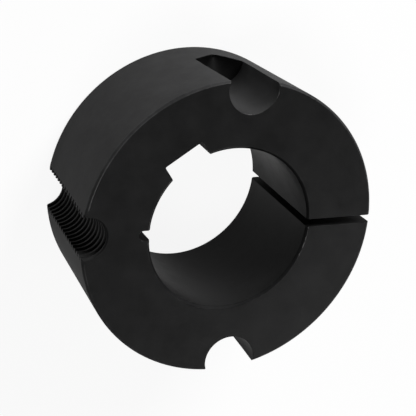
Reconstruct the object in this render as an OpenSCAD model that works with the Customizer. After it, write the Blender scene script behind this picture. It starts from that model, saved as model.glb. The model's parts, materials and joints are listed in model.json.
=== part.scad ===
// Taper bush: a split, tapered clamping bush with a finished keyed bore.
// It stands on its small end, with +Z up along the bore axis towards the large end.
// The origin is on the bore axis in the plane of the small end, and the slit points along +X.
// All sizes are in millimetres and all angles in degrees.

/* [Body] */
// Diameter at the large end, where the taper would meet the face without its edge break
large_end_d = 69.85; // [66:0.05:76]
// Length of the bush along its axis
bush_length = 31.75; // [27:0.05:40]
// Slope of the outside against the axis
taper_angle = 4; // [3:0.25:5]
// Diameter of the finished bore
bore_d = 38; // [30:1:42]

/* [Keyway] */
// Width of the keyway
keyway_width = 10; // [8:1:12]
// Depth of the keyway floor beyond the bore, on the keyway's centre line
keyway_depth = 3.3; // [2.4:0.1:4.4]
// Direction of the keyway, counted from the slit
keyway_angle = 124; // [116:1:145]
// Radius in the two corners of the keyway floor
keyway_corner_r = 0.3; // [0.1:0.05:0.8]

/* [Slit and relief groove] */
// Width of the slit through the wall
slit_width = 1.7; // [1:0.1:3]
// Width of the relief groove opposite the slit
relief_width = 2.3; // [1.5:0.1:4]
// Depth of the relief groove beyond the bore
relief_depth = 2.6; // [2:0.1:4]

/* [Locking pockets] */
// Distance of the two pocket axes inside the edge of the large end
pocket_inset = 2; // [1:0.1:2.4]
// Diameter of the two plain locking pockets
pocket_d = 11.9; // [9:0.1:13]
// Length of each pocket's full-width part
pocket_depth = 20.4; // [14:0.1:22]
// Angle of the drill point that ends each pocket
drill_point_angle = 118; // [100:1:140]
// Direction of each pocket, counted from the slit to either side
pocket_angle = 85; // [78:0.2:95]
// Radius of the blunt centre that the drill leaves at the bottom
drill_tip_r = 0.4; // [0.2:0.1:1]

/* [Jacking thread] */
// Distance of the thread's axis inside the edge of the large end
jacking_inset = 1.3; // [1:0.1:2.4]
// Direction of the jacking thread, counted from the slit
jacking_angle = 179.4; // [175:0.2:185]
// Outside diameter of the thread
thread_d = 11.11; // [9:0.01:13]
// Distance from one turn to the next
thread_pitch = 1.814; // [1.2:0.001:2.4]
// Angle between the two flanks of the thread
thread_flank_angle = 55; // [50:1:60]
// Share of the full thread depth that the tapping hole leaves
thread_depth_share = 0.8; // [0.6:0.05:1]
// Width of the edge break around the thread's mouth on the large end
jacking_chamfer = 0.3; // [0.2:0.05:0.6]

/* [Edge breaks] */
// Width of the edge break around the outside, at both ends
rim_chamfer = 0.5; // [0.2:0.1:1]
// Width of the edge break around the bore, at both ends
bore_chamfer = 0.5; // [0.2:0.1:1]

/* [Hidden] */
$fn = 96;
// How far cutting shapes run past the faces that they cut
overrun = 2;
bore_r = bore_d/2;
large_end_r = large_end_d/2;
small_end_r = large_end_r - bush_length*tan(taper_angle);
rim_chamfer_slope = rim_chamfer*tan(taper_angle);
pocket_circle_r = large_end_r - pocket_inset;
jacking_circle_r = large_end_r - jacking_inset;
pocket_r = pocket_d/2;
drill_point_h = (pocket_r - drill_tip_r)/tan(drill_point_angle/2);
keyway_floor_r = bore_r + keyway_depth;
relief_r = relief_width/2;
// The thread form is a triangle, and this share of its height is cut off at the crest and at the root
thread_cut_share = 1/6;
thread_form_h = thread_pitch/2/tan(thread_flank_angle/2);
thread_depth = thread_depth_share*thread_form_h*(1 - 2*thread_cut_share);
thread_root_flat = thread_pitch*thread_cut_share;
// Each groove's flanks run on a little inside the tapping hole, which cuts the crests off flat
thread_reach = thread_root_flat/2;
thread_base = thread_root_flat + 2*(thread_depth + thread_reach)*tan(thread_flank_angle/2);
thread_r = thread_d/2;
thread_core_r = thread_r - thread_depth;
// Half a turn climbs half a pitch across the half hole, so each groove is a tilted ring
thread_tilt = atan(thread_pitch/4/(thread_r - thread_depth/2));
thread_turns = ceil(bush_length/thread_pitch) + 2;
// Height of the first groove above the large end, as a share of the pitch
thread_start = 0.42;

// Turned body: the outside cone, the bore and the edge breaks of both ends
module turned_blank() {
    rotate_extrude()
        polygon([
            [bore_r + bore_chamfer, 0],
            [small_end_r - rim_chamfer, 0],
            [small_end_r + rim_chamfer_slope, rim_chamfer],
            [large_end_r - rim_chamfer_slope, bush_length - rim_chamfer],
            [large_end_r - rim_chamfer, bush_length],
            [bore_r + bore_chamfer, bush_length],
            [bore_r, bush_length - bore_chamfer],
            [bore_r, bore_chamfer]
        ]);
}

// Slit: the saw cut through one side of the wall
module slit_cut() {
    translate([0, -slit_width/2, -overrun])
        cube([large_end_r + overrun, slit_width, bush_length + 2*overrun]);
}

// Relief groove: a round-bottomed groove in the bore, opposite the slit
module relief_cut() {
    groove_end_x = bore_r + relief_depth - relief_r;
    translate([0, 0, -overrun])
        linear_extrude(bush_length + 2*overrun)
            union() {
                translate([-groove_end_x, -relief_r])
                    square([groove_end_x, relief_width]);
                translate([-groove_end_x, 0])
                    circle(relief_r);
            }
}

// Keyway: a slot with small corner radii at its floor
module keyway_cut() {
    rotate([0, 0, keyway_angle])
        translate([0, 0, -overrun])
            linear_extrude(bush_length + 2*overrun)
                union() {
                    translate([0, -keyway_width/2])
                        square([keyway_floor_r - keyway_corner_r, keyway_width]);
                    translate([0, keyway_corner_r - keyway_width/2])
                        square([keyway_floor_r, keyway_width - 2*keyway_corner_r]);
                    for (side = [-1, 1])
                        translate([
                            keyway_floor_r - keyway_corner_r,
                            side*(keyway_width/2 - keyway_corner_r)
                        ])
                            circle(keyway_corner_r);
                }
}

// Locking pocket: a blind drilled half hole that opens on the large end and the outside
module pocket_cut() {
    translate([pocket_circle_r, 0, bush_length - pocket_depth])
        rotate_extrude()
            polygon([
                [0, -drill_point_h],
                [drill_tip_r, -drill_point_h],
                [pocket_r, 0],
                [pocket_r, pocket_depth + overrun],
                [0, pocket_depth + overrun]
            ]);
}

// One groove of the jacking thread, as a ring around the screw axis
module thread_groove() {
    rotate([-thread_tilt, 0, 0])
        rotate_extrude()
            polygon([
                [thread_core_r/2, -thread_base/2],
                [thread_core_r - thread_reach, -thread_base/2],
                [thread_r, -thread_root_flat/2],
                [thread_r, thread_root_flat/2],
                [thread_core_r - thread_reach, thread_base/2],
                [thread_core_r/2, thread_base/2]
            ]);
}

// Jacking thread: a tapped half hole right through the bush, opposite the slit
module jacking_cut() {
    rotate([0, 0, jacking_angle])
        translate([jacking_circle_r, 0, 0]) {
            translate([0, 0, -overrun])
                cylinder(r = thread_core_r, h = bush_length + 2*overrun);
            translate([0, 0, bush_length - jacking_chamfer])
                cylinder(
                    r1 = thread_core_r,
                    r2 = thread_core_r + jacking_chamfer + overrun,
                    h = jacking_chamfer + overrun
                );
            for (turn = [0 : thread_turns - 1])
                translate([0, 0, bush_length + thread_pitch*(thread_start - turn)])
                    thread_groove();
        }
}

// The whole bush is one machined piece
module taper_bush() {
    color("#2b2c2e")
        difference() {
            turned_blank();
            slit_cut();
            relief_cut();
            keyway_cut();
            for (side = [-1, 1])
                rotate([0, 0, side*pocket_angle])
                    pocket_cut();
            jacking_cut();
        }
}

taper_bush();
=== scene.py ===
"""Dresses the packed taper bush in its black finish, on a pale floor under soft lamps.

The bush stands on its small end with the bore along +Z and the slit along +X, as the packed
frame has it.
"""

import json
import math

import bmesh
import bpy
from bpy.props import FloatProperty, FloatVectorProperty, PointerProperty
from mathutils import Matrix, Quaternion, Vector


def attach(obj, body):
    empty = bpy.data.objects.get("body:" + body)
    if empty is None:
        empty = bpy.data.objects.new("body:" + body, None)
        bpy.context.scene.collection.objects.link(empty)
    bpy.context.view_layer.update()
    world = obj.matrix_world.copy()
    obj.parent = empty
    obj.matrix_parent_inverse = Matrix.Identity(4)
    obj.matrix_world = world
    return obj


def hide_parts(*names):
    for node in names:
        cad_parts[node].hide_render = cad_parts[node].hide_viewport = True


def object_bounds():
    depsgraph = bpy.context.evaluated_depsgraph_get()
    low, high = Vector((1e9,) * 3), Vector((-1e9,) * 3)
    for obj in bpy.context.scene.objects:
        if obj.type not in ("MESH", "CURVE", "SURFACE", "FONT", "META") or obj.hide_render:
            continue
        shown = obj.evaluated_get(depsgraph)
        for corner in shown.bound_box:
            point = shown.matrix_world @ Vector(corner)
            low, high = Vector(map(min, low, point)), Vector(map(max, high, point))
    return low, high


bl_info = {
    "name": "Taper Bush",
    "version": (1, 0, 0),
    "blender": (4, 5, 0),
    "location": "View3D > Sidebar > Taper Bush",
    "description": "Models a split taper bush with its black finish, and a plain studio around it",
    "category": "Add Mesh",
}

# The packed frame gives the bush's outside, its bore and where its mounts are
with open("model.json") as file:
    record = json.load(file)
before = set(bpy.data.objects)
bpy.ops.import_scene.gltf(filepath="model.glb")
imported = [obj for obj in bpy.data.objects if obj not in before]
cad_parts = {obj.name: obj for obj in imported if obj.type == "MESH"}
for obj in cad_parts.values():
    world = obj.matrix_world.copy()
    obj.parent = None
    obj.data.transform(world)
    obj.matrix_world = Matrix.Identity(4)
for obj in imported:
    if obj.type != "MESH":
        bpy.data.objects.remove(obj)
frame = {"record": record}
CAD_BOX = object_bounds()
MOUNTS = {mount["name"]: mount for mount in frame["record"]["mounts"]}
MM = 0.001
BODY = "root"
NODE = "taper_bush"

# How finely round shapes are divided, for a full turn
CONE_FACETS = 144
BORE_FACETS = 180
POCKET_FACETS = 72
THREAD_FACETS = 60
ROUNDING_SEGMENTS = 3

# How far a cutting shape runs past the faces that it cuts
OVERRUN = 2 * MM
# Points nearer than this are merged, in a new shape, after the cuts and after the rounding
SAME_IN_SHAPE = MM / 10000
SAME_AFTER_CUTS = MM / 100
SAME_AFTER_ROUNDING = MM / 200
# An edge or a face narrower than this is dissolved after the cuts
SLIVER = MM / 200
# How far from the thread's root a point has to lie to count as off the thread
THREAD_MARGIN = MM / 50
# Share of the thread triangle's height that is cut off at the crest and at the root
THREAD_CUT_SHARE = 1 / 6
# Height of the first thread groove above the large end, as a share of the pitch
THREAD_START = 0.42
# Share of the thread's root flat that its rounding takes on each side
ROOT_ROUNDING = 0.45
# Share of the relief groove's width that the rounding of its floor takes on each side
RELIEF_ROUNDING = 0.48
# Edges that turn by more than this stay sharp in the shading
SHARP_ANGLE = math.radians(40)
# Edges that turn by more than this get their rounding
ROUNDED_ANGLE = math.radians(20)
# A face that looks along the bore more nearly than this is part of a flat end, and is shaded flat
FLAT_END = 0.9999
# An edge is left sharp where a neighbour is shorter than this many roundings
ROUNDING_ROOM = 1.5

# How many clouds and specks of the finish there are to a metre
CLOUDS = 180.0
SPECKS = 2300.0
# Sockets of a Mix node that is set to colours
FIRST_COLOUR = 6
SECOND_COLOUR = 7
MIXED_COLOUR = 2
# Share of the grain in the tool marks' height
GRAIN_SHARE = 0.5
# Name of the face attribute on the rounded edges, which are painted paler: partly worn, partly a
# painted highlight
EDGE_WEAR_AND_HIGHLIGHT = "edge_wear_and_highlight"

# Half the width of the floor, and the width and distance of a lamp, in metres
FLOOR_REACH = 6.0
LAMP_WIDTH = 0.4
LAMP_DISTANCE = 1.0
# The point that the camera looks at
CAMERA_TARGET = Vector((0.95, -0.94, 16.7)) * MM


def mount_direction(name):
    """Angle of a mount's place round the bore, counted from the slit."""
    x, y, _ = MOUNTS[name]["pos_m"]
    return math.atan2(y, x)


def mount_radius(name):
    """Distance of a mount's place from the bore's axis."""
    x, y, _ = MOUNTS[name]["pos_m"]
    return math.hypot(x, y)


def length(name, description, millimetres):
    """A length for the sidebar, with its default in millimetres."""
    return FloatProperty(
        name=name,
        description=description,
        default=millimetres * MM,
        min=0.0,
        precision=5,
        unit="LENGTH",
    )


def angle(name, description, degrees):
    """An angle for the sidebar, with its default in degrees."""
    return FloatProperty(
        name=name,
        description=description,
        default=math.radians(degrees),
        subtype="ANGLE",
    )


def colour(name, description, value):
    """A colour for the sidebar, in linear values."""
    return FloatVectorProperty(
        name=name,
        description=description,
        default=value,
        size=3,
        min=0.0,
        max=1.0,
        subtype="COLOR",
    )


def factor(name, description, value):
    """A share from 0 to 1 for the sidebar."""
    return FloatProperty(name=name, description=description, default=value, min=0.0, max=1.0)


def watts(name, description, value):
    """A lamp's power for the sidebar."""
    return FloatProperty(
        name=name, description=description, default=value, min=0.0, unit="POWER"
    )


class BushSizes(bpy.types.PropertyGroup):
    """Sizes of the bush."""

    large_end_diameter: length(
        "Large end diameter", "Diameter of the taper where it meets the large end", 69.85
    )
    bush_length: length(
        "Length", "Length along the bore", (CAD_BOX[1].z - CAD_BOX[0].z) / MM
    )
    taper: angle("Taper", "Slope of the outside against the bore", 4)
    bore_diameter: length(
        "Bore diameter", "Diameter of the finished bore", 2 * MOUNTS["bore"]["dims"]["r_mm"]
    )
    rim_chamfer: length("Rim chamfer", "Width of the chamfer round the outside", 0.5)
    bore_chamfer: length("Bore chamfer", "Width of the chamfer round the bore", 0.5)
    edge_rounding: length(
        "Edge rounding", "How far sharp edges are rubbed back on each side", 0.12
    )
    slit_width: length("Slit width", "Width of the saw cut through the wall", 1.7)
    keyway_width: length("Keyway width", "Width of the keyway", 10)
    keyway_depth: length("Keyway depth", "Depth of the keyway beyond the bore", 3.3)
    keyway_corner: length("Keyway corner", "Radius in the corners of the keyway's floor", 0.3)
    keyway_direction: angle(
        "Keyway direction",
        "Direction of the keyway, counted from the slit",
        math.degrees(mount_direction("keyway")),
    )
    relief_width: length("Relief width", "Width of the groove opposite the slit", 2.3)
    relief_depth: length("Relief depth", "Depth of that groove beyond the bore", 2.6)
    pocket_circle_radius: length(
        "Pocket circle radius",
        "Distance of the two pocket axes from the bore's axis",
        mount_radius("locking_pocket_left") / MM,
    )
    pocket_diameter: length("Pocket diameter", "Diameter of the locking pockets", 11.9)
    pocket_depth: length("Pocket depth", "Depth of a pocket's full width", 20.4)
    pocket_direction: angle(
        "Pocket direction",
        "Direction of the pockets, counted from the slit to either side",
        math.degrees(mount_direction("locking_pocket_left")),
    )
    drill_point: angle("Drill point", "Angle of the cone that ends a pocket", 118)
    drill_tip_radius: length("Drill tip radius", "Radius of the blunt tip of that cone", 0.4)
    jacking_circle_radius: length(
        "Jacking circle radius",
        "Distance of the thread's axis from the bore's axis",
        mount_radius("jacking_thread") / MM,
    )
    jacking_direction: angle(
        "Jacking direction",
        "Direction of the thread, counted from the slit",
        math.degrees(mount_direction("jacking_thread")),
    )
    thread_diameter: length("Thread diameter", "Outside diameter of the thread", 11.11)
    thread_pitch: length("Thread pitch", "Distance from one turn to the next", 1.814)
    thread_flanks: angle("Thread flanks", "Angle between the flanks of the thread", 55)
    thread_depth_share: factor(
        "Thread depth share", "Share of the full thread depth that the tapping hole leaves", 0.8
    )
    jacking_chamfer: length(
        "Jacking chamfer", "Width of the chamfer round the thread on the large end", 0.3
    )


class FinishColours(bpy.types.PropertyGroup):
    """Colours of the black finish. Each surface takes its own share of their brightness, which
    paints in its shade.
    """

    deep_black: colour("Deep black", "The finish where it is thickest", (0.024, 0.024, 0.0245))
    thin_black: colour("Thin black", "The finish where it is thinnest", (0.03, 0.03, 0.0305))
    # Paler colour of worn edges and flecks, which on the rounded edges is also a painted highlight
    rubbed_edge_and_highlight: colour(
        "Rubbed edge", "Edges and flecks that handling has rubbed", (0.05, 0.05, 0.051)
    )


class StudioSettings(bpy.types.PropertyGroup):
    """The floor, the light and the camera."""

    floor_colour: colour("Floor colour", "Colour of the pale floor", (0.9, 0.9, 0.9))
    floor_seen: factor(
        "Floor as seen", "Share of plain white in the floor as the camera sees it", 0.9
    )
    floor_mirrored: factor(
        "Floor as mirrored", "Share of plain white in the floor as gloss and glass show it", 0.4
    )
    back_lamp: watts("Back lamp", "Power of the low lamp at the back", 13.0)
    front_lamp: watts("Front lamp", "Power of the lamp opposite the camera", 1.7)
    high_lamp: watts("High lamp", "Power of the lamp high on the left", 4.0)
    world_level: factor("World level", "Brightness of the light from all round", 0.0)
    camera_azimuth: angle("Camera azimuth", "Where the camera stands round the bush", 226.06)
    camera_elevation: angle("Camera elevation", "Angle of the camera over the floor", 58.19)
    camera_roll: angle("Camera roll", "Turn of the camera about its view", 134.33)
    camera_distance: length("Camera distance", "From the camera to its target", 430)
    focal_length: FloatProperty(
        name="Focal length",
        description="Focal length of the lens, in millimetres",
        default=161.9,
        min=1.0,
        unit="CAMERA",
    )


def point_round_bore(direction, radius):
    """The point at that direction and radius round the bore, in the plane of the small end."""
    return Vector((radius * math.cos(direction), radius * math.sin(direction), 0.0))


def turned_shape(section, facets, centre=(0.0, 0.0, 0.0), first_facet=0.0):
    """Turns a section of (radius, height) points, bottom first, into a shape with flat ends."""
    bm = bmesh.new()
    points = [bm.verts.new((radius, 0.0, height)) for radius, height in section]
    line = [bm.edges.new(pair) for pair in zip(points, points[1:])]
    turn = Matrix.Rotation(first_facet, 3, "Z")
    bmesh.ops.rotate(bm, cent=(0, 0, 0), matrix=turn, verts=bm.verts)
    bmesh.ops.spin(
        bm,
        geom=points + line,
        cent=(0, 0, 0),
        axis=(0, 0, 1),
        angle=math.tau,
        steps=facets,
        use_merge=True,
    )
    bmesh.ops.remove_doubles(bm, verts=bm.verts, dist=SAME_IN_SHAPE)
    rims = [edge for edge in bm.edges if edge.is_boundary]
    bmesh.ops.holes_fill(bm, edges=rims, sides=0)
    bmesh.ops.translate(bm, verts=bm.verts, vec=centre)
    return bm


def straight_slot(reach, width, height, floor_rounding=0.0, floor_segments=1):
    """A bar along Z, from the axis to +X, with the two corners at its far end rounded."""
    bm = bmesh.new()
    bmesh.ops.create_cube(bm, size=1.0)
    bmesh.ops.scale(bm, verts=bm.verts, vec=(reach, width, height + 2 * OVERRUN))
    bmesh.ops.translate(bm, verts=bm.verts, vec=(reach / 2, 0, height / 2))
    if floor_rounding:
        # The upright edges of the far end run from below the small end to above the large one
        corners = [
            edge
            for edge in bm.edges
            if all(vert.co.x > reach / 2 for vert in edge.verts)
            and edge.verts[0].co.z * edge.verts[1].co.z < 0
        ]
        bmesh.ops.bevel(
            bm,
            geom=corners,
            offset=floor_rounding,
            segments=floor_segments,
            profile=0.5,
            affect="EDGES",
            material=-1,
        )
    return bm


def turned_to(bm, direction):
    """Turns a shape about the bore's axis."""
    turn = Matrix.Rotation(direction, 3, "Z")
    bmesh.ops.rotate(bm, cent=(0, 0, 0), matrix=turn, verts=bm.verts)
    return bm


def as_object(name, bm, *materials):
    """A mesh object from a bmesh, in the scene, with its faces outward."""
    bmesh.ops.recalc_face_normals(bm, faces=bm.faces)
    mesh = bpy.data.meshes.new(name)
    bm.to_mesh(mesh)
    bm.free()
    for material in materials:
        mesh.materials.append(material)
    piece = bpy.data.objects.new(name, mesh)
    bpy.context.scene.collection.objects.link(piece)
    return piece


def cut_away(piece, name, bm, *materials):
    """Cuts a shape out of the piece. The faces it leaves take the shape's materials."""
    cutter = as_object(name, bm, *materials)
    cut = piece.modifiers.new(name, "BOOLEAN")
    cut.operation = "DIFFERENCE"
    cut.solver = "EXACT"
    cut.material_mode = "TRANSFER"
    cut.object = cutter
    depsgraph = bpy.context.evaluated_depsgraph_get()
    result = bpy.data.meshes.new_from_object(piece.evaluated_get(depsgraph))
    piece.modifiers.clear()
    old = piece.data
    piece.data = result
    bpy.data.meshes.remove(old)
    spent = cutter.data
    bpy.data.objects.remove(cutter)
    bpy.data.meshes.remove(spent)


def taper_blank(sizes):
    """The turned outside, with a chamfer at both rims and flat ends."""
    large_radius = sizes.large_end_diameter / 2
    small_radius = large_radius - sizes.bush_length * math.tan(sizes.taper)
    chamfer = sizes.rim_chamfer
    slope = chamfer * math.tan(sizes.taper)
    section = (
        (small_radius - chamfer, 0.0),
        (small_radius + slope, chamfer),
        (large_radius - slope, sizes.bush_length - chamfer),
        (large_radius - chamfer, sizes.bush_length),
    )
    half_facet = math.pi / CONE_FACETS
    return turned_shape(section, CONE_FACETS, first_facet=half_facet)


def bore_shape(sizes):
    """The plain bore."""
    radius = sizes.bore_diameter / 2
    section = ((radius, -OVERRUN), (radius, sizes.bush_length + OVERRUN))
    return turned_shape(section, BORE_FACETS)


def bore_mouth_shape(sizes):
    """The chamfers at both ends of the bore, joined by a thinner stem."""
    radius = sizes.bore_diameter / 2
    wide = radius + sizes.bore_chamfer + OVERRUN
    stem = radius - OVERRUN
    top = sizes.bush_length
    section = (
        (wide, -OVERRUN),
        (stem, sizes.bore_chamfer + OVERRUN),
        (stem, top - sizes.bore_chamfer - OVERRUN),
        (wide, top + OVERRUN),
    )
    return turned_shape(section, BORE_FACETS)


def slit_shape(sizes):
    """The saw cut through one side of the wall."""
    reach = sizes.large_end_diameter / 2 + OVERRUN
    return straight_slot(reach, sizes.slit_width, sizes.bush_length)


def keyway_shape(sizes):
    """The keyway, with small radii in its corners."""
    reach = sizes.bore_diameter / 2 + sizes.keyway_depth
    slot = straight_slot(
        reach, sizes.keyway_width, sizes.bush_length, sizes.keyway_corner, ROUNDING_SEGMENTS
    )
    return turned_to(slot, sizes.keyway_direction)


def relief_shape(sizes):
    """The round-bottomed groove opposite the slit."""
    reach = sizes.bore_diameter / 2 + sizes.relief_depth
    rounding = RELIEF_ROUNDING * sizes.relief_width
    slot = straight_slot(
        reach, sizes.relief_width, sizes.bush_length, rounding, 2 * ROUNDING_SEGMENTS
    )
    return turned_to(slot, math.pi)


def pocket_shape(sizes, direction):
    """A blind drilled hole. The faces of its drill point take the second material."""
    top = sizes.bush_length
    floor = top - sizes.pocket_depth
    radius = sizes.pocket_diameter / 2
    point = (radius - sizes.drill_tip_radius) / math.tan(sizes.drill_point / 2)
    section = (
        (sizes.drill_tip_radius, floor - point),
        (radius, floor),
        (radius, top + OVERRUN),
    )
    centre = point_round_bore(direction, sizes.pocket_circle_radius)
    bm = turned_shape(section, POCKET_FACETS, centre, direction)
    # The drill point gets its own darker material, as painted shade at the hole's blind end
    for face in bm.faces:
        face.material_index = int(face.calc_center_median().z < floor)
    return bm


def jacking_axis(sizes):
    """The point that the jacking thread's axis passes through, at the small end."""
    return point_round_bore(sizes.jacking_direction, sizes.jacking_circle_radius)


def thread_form(sizes):
    """Radii at the root and the core of the thread, and the width of its root flat."""
    triangle = sizes.thread_pitch / 2 / math.tan(sizes.thread_flanks / 2)
    full_depth = triangle * (1 - 2 * THREAD_CUT_SHARE)
    root_radius = sizes.thread_diameter / 2
    core_radius = root_radius - full_depth * sizes.thread_depth_share
    return root_radius, core_radius, sizes.thread_pitch * THREAD_CUT_SHARE


def tapping_hole_shape(sizes):
    """The plain hole that the thread is tapped in, with the chamfer round its mouth."""
    _, core_radius, _ = thread_form(sizes)
    top = sizes.bush_length
    section = (
        (core_radius, -OVERRUN),
        (core_radius, top - sizes.jacking_chamfer),
        (core_radius + sizes.jacking_chamfer + OVERRUN, top + OVERRUN),
    )
    return turned_shape(section, POCKET_FACETS, jacking_axis(sizes))


def thread_groove_shape(sizes):
    """The tap's helical ridge, whose base lies inside the tapping hole."""
    root_radius, core_radius, root_flat = thread_form(sizes)
    pitch = sizes.thread_pitch
    reach = root_flat / 2
    flank = root_radius - core_radius + reach
    base = root_flat + 2 * flank * math.tan(sizes.thread_flanks / 2)
    # The ridge starts below the small end and runs out above the large one
    turns = math.ceil(sizes.bush_length / pitch) + 2
    start = sizes.bush_length + pitch * (THREAD_START - turns + 1)
    bm = bmesh.new()
    inner = core_radius - reach
    section = (
        (inner, -base / 2),
        (root_radius, -root_flat / 2),
        (root_radius, root_flat / 2),
        (inner, base / 2),
    )
    points = [bm.verts.new((radius, 0.0, start + rise)) for radius, rise in section]
    bm.faces.new(points)
    bmesh.ops.bevel(
        bm,
        geom=points[1:3],
        offset=ROOT_ROUNDING * root_flat,
        segments=ROUNDING_SEGMENTS,
        profile=0.5,
        affect="VERTICES",
        material=-1,
    )
    steps = turns * THREAD_FACETS
    bmesh.ops.spin(
        bm,
        geom=list(bm.verts) + list(bm.edges) + list(bm.faces),
        cent=(0, 0, 0),
        axis=(0, 0, 1),
        dvec=(0, 0, pitch / THREAD_FACETS),
        angle=math.tau * turns,
        steps=steps,
    )
    bmesh.ops.translate(bm, verts=bm.verts, vec=jacking_axis(sizes))
    return bm


def round_edges(piece, sizes):
    """Rounds the outward edges a little, but not the thread or an edge without room for it."""
    width = sizes.edge_rounding
    root_radius, _, _ = thread_form(sizes)
    screw = jacking_axis(sizes).xy
    bm = bmesh.new()
    bm.from_mesh(piece.data)
    bmesh.ops.remove_doubles(bm, verts=bm.verts, dist=SAME_AFTER_CUTS)
    bmesh.ops.dissolve_degenerate(bm, edges=bm.edges, dist=SLIVER)
    wear_and_highlight = bm.faces.layers.float.new(EDGE_WEAR_AND_HIGHLIGHT)

    def has_room(vert):
        off_thread = (vert.co.xy - screw).length > root_radius + THREAD_MARGIN
        shortest = min(edge.calc_length() for edge in vert.link_edges)
        return off_thread and shortest > ROUNDING_ROOM * width

    edges = [
        edge
        for edge in bm.edges
        if edge.is_convex
        and edge.calc_face_angle() > ROUNDED_ANGLE
        and all(has_room(vert) for vert in edge.verts)
    ]
    rounded = bmesh.ops.bevel(
        bm,
        geom=edges,
        offset=width,
        segments=ROUNDING_SEGMENTS,
        profile=0.5,
        affect="EDGES",
        material=-1,
        loop_slide=True,
    )
    # The rounded faces are marked to be painted paler, partly as worn edges and partly as a
    # highlight
    for face in rounded["faces"]:
        face[wear_and_highlight] = 1.0
    bmesh.ops.remove_doubles(bm, verts=bm.verts, dist=SAME_AFTER_ROUNDING)
    for face in bm.faces:
        face.smooth = abs(face.normal.z) < FLAT_END
    flats = [face for face in bm.faces if not face.smooth]
    bmesh.ops.triangulate(bm, faces=flats, quad_method="BEAUTY", ngon_method="BEAUTY")
    for edge in bm.edges:
        edge.smooth = edge.calc_face_angle() < SHARP_ANGLE
    bm.to_mesh(piece.data)
    bm.free()


def feed(tree, socket, value):
    """Sets a socket to a value, or links it where the value is another node's socket."""
    if isinstance(value, bpy.types.NodeSocket):
        tree.links.new(value, socket)
    else:
        socket.default_value = value


def add_node(tree, kind, **values):
    """A new node whose named inputs take these values and sockets."""
    node = tree.nodes.new(kind)
    for name, value in values.items():
        feed(tree, node.inputs[name.replace("_", " ")], value)
    return node


def math_node(tree, operation, *values):
    """The result of a Math node on these numbers and sockets."""
    node = tree.nodes.new("ShaderNodeMath")
    node.operation = operation
    for socket, value in zip(node.inputs, values):
        feed(tree, socket, value)
    return node.outputs[0]


def mixed_colour(tree, share, first, second):
    """The colour that lies between two others, by that share."""
    mix = add_node(tree, "ShaderNodeMix", Factor=share)
    mix.data_type = "RGBA"
    tree.links.new(first, mix.inputs[FIRST_COLOUR])
    tree.links.new(second, mix.inputs[SECOND_COLOUR])
    return mix.outputs[MIXED_COLOUR]


def new_group(name, inputs, outputs):
    """An empty shader group with these sockets, and the nodes that stand for its two ends."""
    group = bpy.data.node_groups.new(name, "ShaderNodeTree")
    for direction, sockets in (("INPUT", inputs), ("OUTPUT", outputs)):
        for socket_name, kind in sockets:
            group.interface.new_socket(socket_name, in_out=direction, socket_type=kind)
    return group, group.nodes.new("NodeGroupInput"), group.nodes.new("NodeGroupOutput")


def black_oxide_group():
    """Cloudy thick and thin places in the finish, paler flecks, and edges worn paler and painted as
    a highlight.
    """
    group, given, result = new_group(
        "Black oxide",
        (
            ("Deep", "NodeSocketColor"),
            ("Thin", "NodeSocketColor"),
            ("Rubbed", "NodeSocketColor"),
            ("Roughness", "NodeSocketFloat"),
            ("Mottling", "NodeSocketFloat"),
        ),
        (
            ("Colour", "NodeSocketColor"),
            ("Roughness", "NodeSocketFloat"),
            ("Grain", "NodeSocketFloat"),
        ),
    )
    place = group.nodes.new("ShaderNodeTexCoord").outputs["Object"]
    clouds = add_node(
        group, "ShaderNodeTexNoise", Vector=place, Scale=CLOUDS, Detail=5.0, Roughness=0.75
    ).outputs["Fac"]
    specks = add_node(
        group, "ShaderNodeTexNoise", Vector=place, Scale=SPECKS, Detail=2.0, Roughness=0.5
    ).outputs["Fac"]
    # Noise stays near its middle, so a narrow band of it is spread over the whole range
    thin_places = add_node(
        group, "ShaderNodeMapRange", Value=clouds, From_Min=0.35, From_Max=0.65
    ).outputs["Result"]
    black = mixed_colour(group, thin_places, given.outputs["Deep"], given.outputs["Thin"])
    edges = group.nodes.new("ShaderNodeAttribute")
    edges.attribute_name = EDGE_WEAR_AND_HIGHLIGHT
    # Edges are painted paler in patches, partly as worn edges and partly as a highlight, and the
    # few highest specks show as flecks
    patchy = add_node(
        group, "ShaderNodeMapRange", Value=clouds, From_Min=0.4, From_Max=0.6
    ).outputs["Result"]
    flecks = add_node(
        group, "ShaderNodeMapRange", Value=specks, From_Min=0.7, From_Max=0.8, To_Max=0.5
    ).outputs["Result"]
    worn_and_highlit_edges = math_node(group, "MULTIPLY", edges.outputs["Fac"], patchy)
    rubbed_and_highlit = math_node(group, "MAXIMUM", worn_and_highlit_edges, flecks)
    shown = mixed_colour(group, rubbed_and_highlit, black, given.outputs["Rubbed"])
    group.links.new(shown, result.inputs["Colour"])
    # Thin places are a little rougher than thick ones
    swing = add_node(
        group,
        "ShaderNodeMapRange",
        Value=clouds,
        From_Min=0.25,
        From_Max=0.75,
        To_Min=-0.2,
        To_Max=0.2,
    ).outputs["Result"]
    roughness = math_node(
        group, "MULTIPLY_ADD", swing, given.outputs["Mottling"], given.outputs["Roughness"]
    )
    group.links.new(roughness, result.inputs["Roughness"])
    group.links.new(specks, result.inputs["Grain"])
    return group


def tool_marks_group():
    """The height of a tool's fine marks along the given coordinate, mixed with some grain."""
    group, given, result = new_group(
        "Tool marks",
        (
            ("Vector", "NodeSocketVector"),
            ("Grain", "NodeSocketFloat"),
            ("Grain Share", "NodeSocketFloat"),
        ),
        (("Height", "NodeSocketFloat"),),
    )
    marks = add_node(
        group,
        "ShaderNodeTexNoise",
        Vector=given.outputs["Vector"],
        Scale=1.0,
        Detail=3.0,
        Roughness=0.55,
    )
    mix = group.nodes.new("ShaderNodeMix")
    group.links.new(given.outputs["Grain Share"], mix.inputs["Factor"])
    group.links.new(marks.outputs["Fac"], mix.inputs["A"])
    group.links.new(given.outputs["Grain"], mix.inputs["B"])
    group.links.new(mix.outputs["Result"], result.inputs["Height"])
    return group


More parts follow.
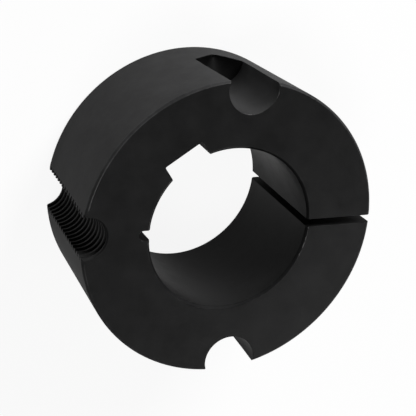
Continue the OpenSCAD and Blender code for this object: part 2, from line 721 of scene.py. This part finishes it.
def faced_coordinate(tree, place):
    """Radius from the bore's axis, so that marks run round a flat end."""
    without_height = (1.0, 1.0, 0.0)
    flat = add_node(tree, "ShaderNodeVectorMath", Vector=place)
    flat.operation = "MULTIPLY"
    flat.inputs[1].default_value = without_height
    size = tree.nodes.new("ShaderNodeVectorMath")
    size.operation = "LENGTH"
    tree.links.new(flat.outputs["Vector"], size.inputs[0])
    return add_node(tree, "ShaderNodeCombineXYZ", X=size.outputs["Value"]).outputs["Vector"]


def shaded(value, shade):
    """A colour at a share of its brightness, with full opacity."""
    return (*(shade * part for part in value), 1.0)


def machined_iron(
    name, groups, colours, spacing, depth, roughness, gloss, shade, mottling, faced=False
):
    """Black finished iron.

    spacing is the distance between tool marks along X, Y and Z, and depth is how deep they are.
    gloss is the specular level, and shade is painted shade: the share of the colours' brightness
    that it takes.
    mottling is how much brightness and roughness vary. On a faced surface the marks are rings.
    """
    material = bpy.data.materials.new(name)
    material.use_nodes = True
    tree = material.node_tree
    shader = tree.nodes["Principled BSDF"]
    place = tree.nodes.new("ShaderNodeTexCoord").outputs["Object"]
    if faced:
        place = faced_coordinate(tree, place)
    lay = add_node(
        tree, "ShaderNodeMapping", Vector=place, Scale=[1 / step for step in spacing]
    )
    oxide = tree.nodes.new("ShaderNodeGroup")
    oxide.node_tree = groups["oxide"]
    oxide.inputs["Deep"].default_value = shaded(colours.deep_black, shade * (1 - mottling))
    oxide.inputs["Thin"].default_value = shaded(colours.thin_black, shade * (1 + mottling))
    oxide.inputs["Rubbed"].default_value = shaded(colours.rubbed_edge_and_highlight, shade)
    oxide.inputs["Roughness"].default_value = roughness
    oxide.inputs["Mottling"].default_value = mottling
    shader.inputs["Specular IOR Level"].default_value = gloss
    marks = tree.nodes.new("ShaderNodeGroup")
    marks.node_tree = groups["marks"]
    tree.links.new(lay.outputs["Vector"], marks.inputs["Vector"])
    tree.links.new(oxide.outputs["Grain"], marks.inputs["Grain"])
    marks.inputs["Grain Share"].default_value = GRAIN_SHARE
    bump = add_node(
        tree, "ShaderNodeBump", Strength=1.0, Distance=depth, Height=marks.outputs["Height"]
    )
    tree.links.new(oxide.outputs["Colour"], shader.inputs["Base Color"])
    tree.links.new(oxide.outputs["Roughness"], shader.inputs["Roughness"])
    tree.links.new(bump.outputs["Normal"], shader.inputs["Normal"])
    return material


def bush_finishes(colours):
    """One finish for each way that the bush's surfaces were cut, under the same black with its own
    painted shade.
    """
    groups = {"oxide": black_oxide_group(), "marks": tool_marks_group()}
    # Distances between tool marks. The far one leaves none to be seen along its direction
    far = 40 * MM
    fine = 0.12 * MM
    coarse = 0.3 * MM
    # The same distances along X, Y and Z, for marks without a direction, round the bore or along it
    even = (fine, fine, fine)
    round_fine = (far, far, fine)
    round_coarse = (far, far, coarse)
    along = (fine, fine, far)
    # Depths of the marks
    shallow = 0.003 * MM
    middling = 0.005 * MM
    deep = 0.01 * MM

    def finish(name, spacing, depth, **look):
        return machined_iron(name, groups, colours, spacing, depth, **look)

    # The shares are painted shade: the slit, the grooves, the drill points, the thread and the bore
    # are darkened as the shade in them, and the ends and chamfers are darker than the outside by
    # how they are lit
    return {
        "faced": finish(
            "faced_iron", even, shallow,
            roughness=0.3, gloss=0.33, shade=0.26, mottling=0.12, faced=True,
        ),
        "chamfered": finish(
            "chamfered_iron", even, shallow,
            roughness=0.6, gloss=0.05, shade=0.3, mottling=0.1,
        ),
        "turned": finish(
            "turned_iron", round_fine, shallow,
            roughness=0.6, gloss=0.08, shade=0.8, mottling=0.15,
        ),
        "bored": finish(
            "bored_iron", round_fine, shallow,
            roughness=0.35, gloss=0.06, shade=0.22, mottling=0.4,
        ),
        "drilled": finish(
            "drilled_iron", round_coarse, middling,
            roughness=0.6, gloss=0.2, shade=0.7, mottling=0.2,
        ),
        "pointed": finish(
            "pointed_iron", round_coarse, middling,
            roughness=0.6, gloss=0.05, shade=0.1, mottling=0.3,
        ),
        "broached": finish(
            "broached_iron", along, middling,
            roughness=0.6, gloss=0.05, shade=0.05, mottling=0.1,
        ),
        "sawn": finish(
            "sawn_iron", round_coarse, deep,
            roughness=0.6, gloss=0.05, shade=0.1, mottling=0.1,
        ),
        "tapped": finish(
            "tapped_iron", even, shallow,
            roughness=0.6, gloss=0.15, shade=0.2, mottling=0.1,
        ),
    }


def end_faces_faced(piece):
    """Gives the two flat ends the faced finish, which is the blank's second one."""
    for polygon in piece.data.polygons:
        polygon.material_index = int(abs(polygon.normal.z) > FLAT_END)


class MakeTaperBush(bpy.types.Operator):
    """Models the whole bush as one machined piece."""

    bl_idname = "taper_bush.bush"
    bl_label = "Taper Bush"

    def execute(self, context):
        sizes = context.scene.bush_sizes
        finishes = bush_finishes(context.scene.finish_colours)
        bush = as_object(
            "bush", taper_blank(sizes), finishes["turned"], finishes["faced"]
        )
        end_faces_faced(bush)
        cut_away(bush, "bore", bore_shape(sizes), finishes["bored"])
        cut_away(bush, "bore_mouths", bore_mouth_shape(sizes), finishes["chamfered"])
        cut_away(bush, "slit", slit_shape(sizes), finishes["sawn"])
        cut_away(bush, "keyway", keyway_shape(sizes), finishes["broached"])
        cut_away(bush, "relief", relief_shape(sizes), finishes["broached"])
        for side in (-1, 1):
            pocket = pocket_shape(sizes, side * sizes.pocket_direction)
            cut_away(bush, "pocket", pocket, finishes["drilled"], finishes["pointed"])
        cut_away(bush, "tapping_hole", tapping_hole_shape(sizes), finishes["tapped"])
        cut_away(bush, "thread", thread_groove_shape(sizes), finishes["tapped"])
        round_edges(bush, sizes)
        flats_first = bush.modifiers.new("flats_first", "WEIGHTED_NORMAL")
        flats_first.keep_sharp = True
        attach(bush, BODY)
        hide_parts(NODE)
        return {"FINISHED"}


def whiter_floor(settings):
    """A pale floor that the camera and gloss see nearly white, with the shadows still on it."""
    material = bpy.data.materials.new("pale_floor")
    material.use_nodes = True
    tree = material.node_tree
    tree.nodes.clear()
    path = tree.nodes.new("ShaderNodeLightPath").outputs
    mirrored = math_node(
        tree, "MAXIMUM", path["Is Glossy Ray"], path["Is Transmission Ray"]
    )
    share = math_node(
        tree,
        "MAXIMUM",
        math_node(tree, "MULTIPLY", path["Is Camera Ray"], settings.floor_seen),
        math_node(tree, "MULTIPLY", mirrored, settings.floor_mirrored),
    )
    paint = add_node(tree, "ShaderNodeBsdfDiffuse", Color=(*settings.floor_colour, 1.0))
    glow = add_node(tree, "ShaderNodeEmission", Color=(1.0, 1.0, 1.0, 1.0), Strength=1.0)
    mix = add_node(tree, "ShaderNodeMixShader", Fac=share)
    tree.links.new(paint.outputs["BSDF"], mix.inputs[1])
    tree.links.new(glow.outputs["Emission"], mix.inputs[2])
    end = tree.nodes.new("ShaderNodeOutputMaterial")
    tree.links.new(mix.outputs["Shader"], end.inputs["Surface"])
    return material


def add_floor(settings):
    """A flat floor under the bush, far wider than the camera's view."""
    bm = bmesh.new()
    bmesh.ops.create_grid(bm, x_segments=1, y_segments=1, size=FLOOR_REACH)
    floor = as_object("floor", bm, whiter_floor(settings))


def add_world(settings):
    """Even light from all round, which is off unless its level is raised."""
    world = bpy.data.worlds.new("studio")
    world.use_nodes = True
    background = world.node_tree.nodes["Background"]
    background.inputs["Color"].default_value = (1.0, 1.0, 1.0, 1.0)
    background.inputs["Strength"].default_value = settings.world_level
    bpy.context.scene.world = world


def direction_to(azimuth, elevation):
    """Unit vector to a place round the bush. Azimuth 0 lies towards -Y and 90 towards +X."""
    level = math.cos(elevation)
    return Vector(
        (math.sin(azimuth) * level, -math.cos(azimuth) * level, math.sin(elevation))
    )


def add_softbox(name, azimuth, elevation, power):
    """A square lamp turned to the bush, from that direction in degrees."""
    light = bpy.data.lights.new(name, "AREA")
    light.shape = "SQUARE"
    light.size = LAMP_WIDTH
    light.energy = power
    lamp = bpy.data.objects.new(name, light)
    away = direction_to(math.radians(azimuth), math.radians(elevation))
    lamp.location = away * LAMP_DISTANCE
    lamp.rotation_mode = "QUATERNION"
    lamp.rotation_quaternion = (-away).to_track_quat("-Z", "Y")
    bpy.context.scene.collection.objects.link(lamp)


def add_camera(settings):
    """The camera at the photo's viewing angle."""
    data = bpy.data.cameras.new("camera")
    data.lens = settings.focal_length
    camera = bpy.data.objects.new("camera", data)
    away = direction_to(settings.camera_azimuth, settings.camera_elevation)
    camera.location = CAMERA_TARGET + away * settings.camera_distance
    camera.rotation_mode = "QUATERNION"
    level = (-away).to_track_quat("-Z", "Y")
    roll = Quaternion((0.0, 0.0, 1.0), settings.camera_roll)
    camera.rotation_quaternion = level @ roll
    bpy.context.scene.collection.objects.link(camera)
    bpy.context.scene.camera = camera


class SetStudio(bpy.types.Operator):
    """Sets the floor, the lamps and the camera."""

    bl_idname = "taper_bush.studio"
    bl_label = "Studio"

    def execute(self, context):
        settings = context.scene.studio_settings
        add_floor(settings)
        add_world(settings)
        add_softbox("low_back", azimuth=150, elevation=25, power=settings.back_lamp)
        add_softbox("front_right", azimuth=45, elevation=35, power=settings.front_lamp)
        add_softbox("high_left", azimuth=310, elevation=70, power=settings.high_lamp)
        add_camera(settings)
        context.scene.view_settings.view_transform = "Standard"
        return {"FINISHED"}


class TaperBushPanel(bpy.types.Panel):
    """Sizes, colours and studio settings, with a button for each operator."""

    bl_idname = "VIEW3D_PT_taper_bush"
    bl_label = "Taper Bush"
    bl_space_type = "VIEW_3D"
    bl_region_type = "UI"
    bl_category = "Taper Bush"

    def draw(self, context):
        layout = self.layout
        for operator in OPERATORS:
            layout.operator(operator.bl_idname)
        for owner in SETTINGS:
            group = getattr(context.scene, owner)
            layout.label(text=type(group).__doc__)
            for name in type(group).__annotations__:
                layout.prop(group, name)


OPERATORS = (MakeTaperBush, SetStudio)
SETTINGS = {
    "bush_sizes": BushSizes,
    "finish_colours": FinishColours,
    "studio_settings": StudioSettings,
}
CLASSES = (*SETTINGS.values(), *OPERATORS, TaperBushPanel)


def register():
    """Makes the classes known, and puts their settings on the scene."""
    for kind in CLASSES:
        bpy.utils.register_class(kind)
    for name, kind in SETTINGS.items():
        setattr(bpy.types.Scene, name, PointerProperty(type=kind))


def unregister():
    """Takes the settings and the classes away again."""
    for name in SETTINGS:
        delattr(bpy.types.Scene, name)
    for kind in reversed(CLASSES):
        bpy.utils.unregister_class(kind)


def main():
    register()
    bpy.ops.taper_bush.bush()
    bpy.ops.taper_bush.studio()


if __name__ == "__main__":
    main()
